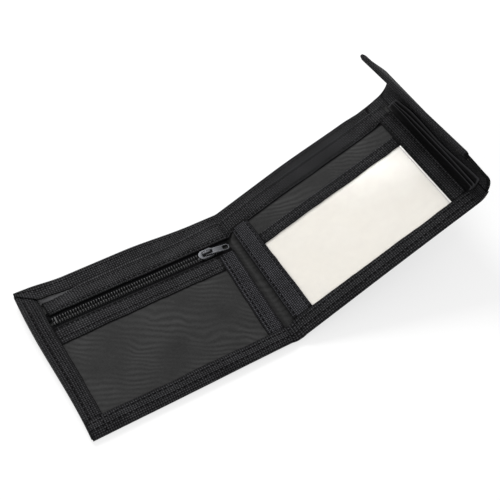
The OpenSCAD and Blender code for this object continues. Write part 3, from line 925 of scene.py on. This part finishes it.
def card_place(s, v):
    """A blank with rounded corners that lies as the pocket behind it does."""
    inset = corner_inset(max(card_corner - v, v - (card_h - card_corner)), card_corner)
    return face_point(10.4 + min(max(s, inset), card_w - inset), 5.5 + v, 1.95)


card_rounding = [0, 0.3, 0.9, 1.8, card_corner]
card_along = card_rounding + steps(6, 48, 3) + [card_h - v for v in card_rounding[::-1]]
card = cloth("blank_card", steps(0, card_w, 3), card_along, card_place, ply_t, card_stock)
moves_with(card, "card", "card_stock", "insert_card")

vinyl_tint = colour(253, 251, 247)
vinyl, vinyl_tree, vinyl_shader = new_finish("clear_vinyl", Base_Color=vinyl_tint, IOR=1.53)
vinyl_cut = cut_map(vinyl_tree)
haze = mottle(vinyl_tree, vinyl_cut, 5.0, 3.0)
cut_x = add_node(vinyl_tree, "ShaderNodeSeparateXYZ", i0=vinyl_cut)
# Painted highlight: past 96.45 mm across the cut the sheet turns nearly opaque white, a bright line along the
# window's side for light caught at the sheet's edge.
painted_edge_highlight = add_node(vinyl_tree, "ShaderNodeMapRange", i0=cut_x, i1=0.9635, i2=0.9645, i4=0.6)
veil = maths(vinyl_tree, "MULTIPLY_ADD", haze, 0.2, 0.26)
dull = maths(vinyl_tree, "MULTIPLY_ADD", haze, 0.2, 0.06)
fill(vinyl_shader, Alpha=maths(vinyl_tree, "ADD", veil, painted_edge_highlight), Roughness=dull)


def vinyl_place(s, v):
    """The sheet lies in slow waves over the card and has a bead where the tapes press it along its sides."""
    across = min(max((s - 11) / 86, 0), 1)
    up = min(max((v - 10.5) / 46, 0), 1)
    wave = 0.22 * math.sin(math.pi * across) * (0.6 + 0.4 * math.sin(7 * across + 2 * up))
    bead = 0.3 * math.exp(-(((s - 96.7) / 0.35) ** 2))
    return face_point(s, v, 2.4 + (wave + bead) * math.sin(math.pi * up) ** 0.4)


window_sheet = cloth(
    "clear_sheet",
    steps(9.2, 94, 3) + steps(94.6, 98, 0.2) + [98.6, 99],
    steps(8.5, sheet_top, 2.5),
    vinyl_place,
    ply_t,
    vinyl,
)
moves_with(window_sheet, "right_panel", "clear_vinyl", "window_sheet")


# Right tapes: a binding along the top of the window and a tape on each side of it, which step down
# from the window to the ply above. Each is sewn down along both edges.
right_tape_w = 2.7
right_fold_w = 10.3
right_fold_seams = (1.6, 8.7)
window_side_from = 97.1
window_side_w = 8.9
window_side_seams = (1.5, 7.0)


def stepped(v):
    """Height of the side tapes: on the window, then on the ply above it."""
    return right_tape_w - 0.42 * eased((v - sheet_top) / 2)


def right_fold_place(s, v, w=0.0):
    """The tape is a little wider at its foot."""
    q = s - right_inset
    height = stepped(v) + 0.05 + tape_rise(q, right_fold_w, right_fold_seams) + w
    wide = q / right_fold_w * (0.9 * eased((66 - v) / 50) + wander(v, 5))
    return face_point(s + wide, v, height)


step_along = steps(10.2, 61, 2.5) + steps(62, 65, 0.5) + steps(66, 76.5, 2)
sewn_tape(
    "right_ribbed_tape",
    "right_panel",
    "right_fold_tape",
    tape_stations(right_fold_w, right_fold_seams, right_inset),
    step_along,
    right_fold_place,
    ribbed,
)


def window_side_place(s, v, w=0.0):
    rise = tape_rise(s - window_side_from, window_side_w, window_side_seams)
    return face_point(s, v, stepped(v) + 0.05 + rise + w)


sewn_tape(
    "window_edge_tape",
    "right_panel",
    "window_side_tape",
    tape_stations(window_side_w, window_side_seams, window_side_from),
    step_along,
    window_side_place,
    edge_nylon,
)

window_top_from = 56.5
window_top_h = 6.5
window_top_seams = (1.4, 4.8)


def window_top_place(s, q, w=0.0):
    """q runs up the front of the binding and over the top of the clear sheet."""
    if q <= window_top_h:
        low = window_top_from + wander(s, 6) * (1 - q / window_top_h)
        rise = tape_rise(q, window_top_h + 0.9, window_top_seams)
        return face_point(s, low + q, right_tape_w + rise + w)
    return face_point(s, sheet_top + 0.45 + w, right_tape_w + 0.1 - (q - window_top_h) * 0.35)


window_top_up = wrap_stations(window_top_h, window_top_seams, (0, 0.4, 0.9), 0.9)
window_top_across = steps(11, 97.2, 2.5)
sewn_tape(
    "window_top_tape", "right_panel", "window_binding", window_top_across, window_top_up, window_top_place
)


# Hem and top band: nylon tapes along the bottom and the top of both panels. The hem closes every
# pocket and wraps the bottom edge; the band covers the front wall's top edge. Both bend at the fold.
flap_pin = Vector(joints["flap_fold"]["pos_m"]) / MM - fold_line
flap_axis_w = fold_z - flap_pin.x * math.sin(tilt) + (flap_pin.z - fold_z) * math.cos(tilt)
flap_lift = math.radians(-joints["flap_fold"]["range_deg"][0])
flap_arc = flap_axis_w * flap_lift
flap_root = frame_w - right_shell_end
flap_foot = 2 * flap_root + flap_arc
flap_reach = 14.6
flap_end = flap_foot + flap_reach
flap_corner = 1.8


def flap_point(q, v, w):
    """q runs from the end of the right panel's shell round the bend and up the flap."""
    twist = math.radians(4) * (v - 52) / 45 * eased((q - 16) / 24)
    past = q - flap_root
    bend = min(max(past, 0) / flap_axis_w, flap_lift) + twist
    x, z = turned(max(past - flap_arc, min(past, 0)), w, bend, flap_axis_w)
    x, z = turned(frame_w + x, z, tilt, fold_z)
    return in_row(x, v, z)


def flap_edges(q):
    """Lower and upper edge of the cut: it narrows from the shell to the flap, and its end is rounded."""
    end = corner_inset(q - (flap_end - flap_corner), flap_corner)
    low = tuck(right_shell_end) - 0.9 * eased(q / 14) + 1.2 * eased((q - 24) / 14)
    return low + end, shell_h - 1.9 + 1.1 * eased(q / 16) - end


hem_h = 10.5
hem_fall = 3.4
hem_seams = (2.6, 7.2)
band_cut = 10
band_seams = (1.5, 8.2)


def between(s, left, right):
    """A level that passes from the left panel's to the right panel's across the fold."""
    return left + (right - left) * eased((s + left_inset) / (left_inset + right_inset))


def hem_place(s, q, w=0.0):
    """q runs down over the pockets, then round the bottom edge to the underside of the shell."""
    level = between(s, left_tape_w, right_tape_w) + 0.12 + tape_rise(min(q, hem_h), hem_h + 2, hem_seams)
    level -= 1.5 * (max(min(q, hem_h) - 5, 0) / 5.5) ** 2 + 0.5 * math.exp(-(((s - 0.4) / 0.8) ** 2))
    low = (0.35 + 0.13 * eased(s / 60)) * tuck(s)
    high = hem_h - between(s, 1.3 + max(-s - 5, 0) / 90, 0) + wander(s, 7)
    turn = (q - hem_h) / hem_fall
    if s > frame_w:
        flap_q = s - right_shell_end
        foot_v = flap_edges(flap_q)[0]
        share = eased((s - frame_w) / 7)
        low += (foot_v - low) * share
        top_w = (face_z + level) * (1 - share) + (shell_t + 0.1) * share
        if q <= hem_h:
            return flap_point(flap_q, high + (low - high) * q / hem_h, top_w + w)
        return flap_point(flap_q, low + (foot_v - low) * turn - 0.1 - w, top_w + (0.05 - top_w) * turn)
    if q <= hem_h:
        return face_point(s, high + (low - high) * q / hem_h, level + w)
    top = face_point(s, low - 0.1 - w, level)
    arc_s = s if s < 0 else s + fold_arc * min(s / right_inset, 1)
    foot = shell_point(arc_s, -0.1 - w, 0.05)
    out = Vector((0, -0.35, 0)) * MM * math.sin(math.pi * turn)
    return top.lerp(foot, turn) + out


hem_falls = [hem_fall * f for f in (0, 0.15, 0.35, 0.6, 0.85, 1)]
hem_down = wrap_stations(hem_h, hem_seams, hem_falls)
hem_across = across_fold(-110.3, 2.5, 0.45) + steps(frame_w + 1, frame_w + flap_root, 1)
hem = cloth("hem", hem_across[::-1], hem_down, hem_place, tape_t, nylon)
bends_at(wall_fold, hem, "nylon", "left_hem", "hem_spine", "right_hem")


def top_band_place(s, q, w=0.0):
    """q runs up the front of the band, which reaches down to the zip on the left, then over the top edge."""
    zip_side = left_tape_w - 1.3 * eased((q - 2.5) / 6.5)
    tape_side = ply_t + 1.9 * eased((s - 94) / 3) * (1 - eased((q - 0.5) / 8))
    level = between(s, zip_side, tape_side) + 0.04
    low = between(s, slit_high, 76) + wander(s, 8)
    if q <= band_cut:
        rise = tape_rise(q, band_cut + 2, band_seams)
        return face_point(s, low + (front_h - low) * q / band_cut, level + rise + w)
    return face_point(s, front_h + 0.1 + w, level + 0.1 - (q - band_cut) * (level + 0.15))


band_up = wrap_stations(band_cut, band_seams, (0, 0.15, 0.4, 0.7, 1))
band_across = [s for s in hem_across if -102.5 < s <= frame_w]
top_band = cloth("top_band", band_across, band_up, top_band_place, tape_t, nylon)
bends_at(wall_fold, top_band, "nylon", "left_top_band", "top_band_spine", "right_top_band")


# Closing flap: the shell goes on round the closed edge and ends in a stiff flap, lined inside and
# bound along its free edge, with the hook half of the closure on the lining.
def flap_place(depth, margin):
    def place(q, t):
        low, high = flap_edges(q)
        return flap_point(q, low + margin + (high - low - 2 * margin) * t / shell_h, depth)

    return place


flap_across = steps(0, 8, 2) + steps(9, flap_foot, 0.9) + steps(flap_foot + 2, flap_end - 4, 2)
flap_across += [flap_end - d for d in (2.4, 1.8, 1.1, 0.5, 0.15, 0)]
flap_shell = cloth("flap_cloth", flap_across, steps(0, shell_h, 3), flap_place(0, 0), shell_t, nylon)
flap_bend = ("right_panel", "flap", flap_point(0, mid_v, 0), flap_point(flap_foot, mid_v, 0))
bends_at(flap_bend, flap_shell, "nylon", "flap_spine", "flap_shell")

flap_lining = cloth(
    "flap_inner_cloth",
    [q for q in flap_across if 10 < q < flap_end - 1.5],
    steps(0, shell_h, 4),
    flap_place(shell_t, 0.6),
    lining_t,
    nylon,
)
bends_at(flap_bend, flap_lining, "nylon", "flap_lining")

bead_low = 6.9
bead_high = 94.4
bead_round = [
    (-3.6, 1.5), (-2.9, 1.62), (-2.0, 1.75), (-1.0, 1.75), (-0.2, 1.5), (0.15, 1.0), (0.15, 0.45),
    (-0.1, -0.05), (-0.8, -0.3), (-1.8, -0.32), (-2.8, -0.2), (-3.6, -0.05),
]


def flap_binding_place(q, v):
    """q counts the corners of a rolled edge, from the lining round the free edge to the outside."""
    out, depth = bead_round[q]
    full = 0.45 + 0.55 * eased(min(v - bead_low, bead_high - v) / 1.8)
    return flap_point(flap_end + out * full - 0.5 * (1 - full), v, 0.6 + (depth - 0.6) * full)


bead_along = [bead_low, 7.4, 8, 8.7] + steps(11, 90, 3) + [92.6, 93.3, 93.9, bead_high]
bead_across = list(range(len(bead_round)))
flap_binding = cloth("flap_rolled_edge", bead_across, bead_along, flap_binding_place, 0.45, edge_nylon)
moves_with(flap_binding, "flap", "nylon", "flap_binding")

hooks = woven("hook_tape", (6, 6, 7), (40, 40, 43), 90, 90, 0.5, 0.5)


def hook_place(q, v):
    return flap_point(flap_foot + q, v, face_z + 0.1 * math.sin(5.2 * q) * math.sin(5.2 * v))


hook_strip = cloth("hook_tape_strip", steps(2.5, 11.5, 0.3), steps(12, 88, 0.6), hook_place, pile_t, hooks)
moves_with(hook_strip, "flap", "hook_tape", "hook_strip")


# Stitching: black thread in straight rows, two along most tapes, each stitch a short raised loop
# that sinks into the cloth at its ends.
thread = polished("black_thread", (4, 4, 5), 0.6, 0.0, 2000.0, 0.05)
stitch_mesh = bpy.data.meshes.new("stitch")
ball = bmesh.new()
bmesh.ops.create_uvsphere(ball, u_segments=6, v_segments=6, radius=1)
bmesh.ops.rotate(ball, verts=ball.verts, matrix=Matrix.Rotation(math.pi / 2, 3, "Y"))
ball.to_mesh(stitch_mesh)
ball.free()
stitch_mesh.shade_smooth()
stitch = link("stitch", stitch_mesh)
stitch_size = (0.95 * MM, 0.38 * MM, 0.25 * MM)
stitch_pitch = 2.8 * MM


def seam(place, stations):
    """A row of stitches on the top of a tape: place(t, w) gives a point w above the tape's underside."""
    return on_surface(lambda t, w: place(t, tape_t + w), stations, 0.05)


def level_rows(place, seams, start, end):
    """Rows along a tape that runs across the panels: place takes the place along it, then the seam."""
    return [seam(lambda s, w, q=q: place(s, q, w), steps(start, end, 1.25)) for q in seams]


def upright_rows(place, edge, seams, low, high):
    """Rows up a tape that starts at the given edge: place takes the seam, then the height."""
    return [seam(lambda v, w, q=q: place(edge + q, v, w), steps(low, high, 1.25)) for q in seams]


def stitching(name, *rows):
    return row_of(name, stitch, sum(rows, []), stitch_pitch, stitch_size, thread)


left_stitches = stitching(
    "left_stitches",
    level_rows(zip_band_place, zip_band_seams, -100.5, -13.5),
    upright_rows(left_fold_place, left_fold_from, left_fold_seams, 9.8, 63.5),
    upright_rows(edge_place, 0, edge_seams, 8.9, 89),
)
moves_with(left_stitches, "left_panel", "nylon")
right_stitches = stitching(
    "right_stitches",
    upright_rows(right_fold_place, right_inset, right_fold_seams, 11, 75.5),
    upright_rows(window_side_place, window_side_from, window_side_seams, 11, 75.5),
    level_rows(window_top_place, window_top_seams, 12, 96.5),
)
moves_with(right_stitches, "right_panel", "nylon")
bar_tack = seam(lambda q, w: hem_place(-102.6, q, w), steps(0.8, 9.8, 0.8))
fold_stitches = stitching(
    "fold_stitches",
    level_rows(hem_place, hem_seams, -109, 105),
    [bar_tack],
    level_rows(top_band_place, band_seams, -100.5, 104.5),
)
bends_at(wall_fold, fold_stitches, "nylon")
mouth_stitches = stitching("mouth_stitches", level_rows(shell_binding_place, [5.6], -108, 98))
bends_at(shell_fold, mouth_stitches, "nylon")
bpy.data.objects.remove(stitch)


# Studio: a pale floor that keeps the wallet's shadow, even light from all round with two soft lamps,
# and the camera where the photograph was taken from.
floor_mesh = bpy.data.meshes.new("floor")
floor_corners = [(x, y, -0.6 * MM) for x, y in ((-4, -4), (4, -4), (4, 4), (-4, 4))]
floor_mesh.from_pydata(floor_corners, [], [(0, 1, 2, 3)])
floor = link("floor", floor_mesh)
floor_grey = (0.35, 0.35, 0.35, 1)
white = (1, 1, 1, 1)
floor_paint, floor_tree, floor_shader = new_finish(
    "floor_paint", Base_Color=floor_grey, Roughness=0.9, Specular_IOR_Level=0.0, Emission_Color=white
)


def seen_by(tree, *rays):
    """1 where a ray of one of these kinds meets the surface."""
    share = 0.0
    for ray in rays:
        share = maths(tree, "ADD", add_node(tree, "ShaderNodeLightPath", output=f"Is {ray} Ray"), share)
    return share


glow = maths(floor_tree, "MULTIPLY", seen_by(floor_tree, "Camera", "Glossy", "Transmission"), 0.68)
fill(floor_shader, Emission_Strength=glow)
floor_mesh.materials.append(floor_paint)

world = bpy.data.worlds.new("studio")
world.use_nodes = True
bpy.context.scene.world = world
sky = world.node_tree
bright = maths(sky, "MULTIPLY_ADD", seen_by(sky, "Camera", "Transmission"), 0.45, 0.55)
fill(sky.nodes["Background"], Color=white, Strength=bright)

lamp_aim = Vector((0.06, 0, 0.02))


def lamp(name, place, size, power):
    light = bpy.data.lights.new(name, "AREA")
    light.shape = "DISK"
    light.size = size
    light.energy = power
    obj = link(name, light)
    obj.location = place
    obj.rotation_euler = (lamp_aim - Vector(place)).to_track_quat("-Z", "Y").to_euler()


lamp("key_lamp", (0.05, 0.75, 0.85), 0.45, 7.0)
lamp("fill_lamp", (-0.5, -0.6, 0.8), 0.8, 3.0)

camera_aim = in_row(6.45, 65.85, 0)
camera_distance = 575.82
yaw = math.radians(-23.35)
rise = math.radians(49.17)
roll = math.radians(-5.62)
tip = Matrix.Rotation(math.pi / 2 - rise, 4, "X")
turn = Matrix.Rotation(yaw, 4, "Z") @ tip @ Matrix.Rotation(roll, 4, "Z")
camera_data = bpy.data.cameras.new("camera")
camera_data.lens = 78.63
camera_data.sensor_width = 36
camera_data.clip_start = 0.01
camera = link("camera", camera_data)
back = Matrix.Translation((0, 0, camera_distance * MM))
camera.matrix_world = Matrix.Translation(camera_aim) @ turn @ back
bpy.context.scene.camera = camera
bpy.context.scene.view_settings.view_transform = "Standard"
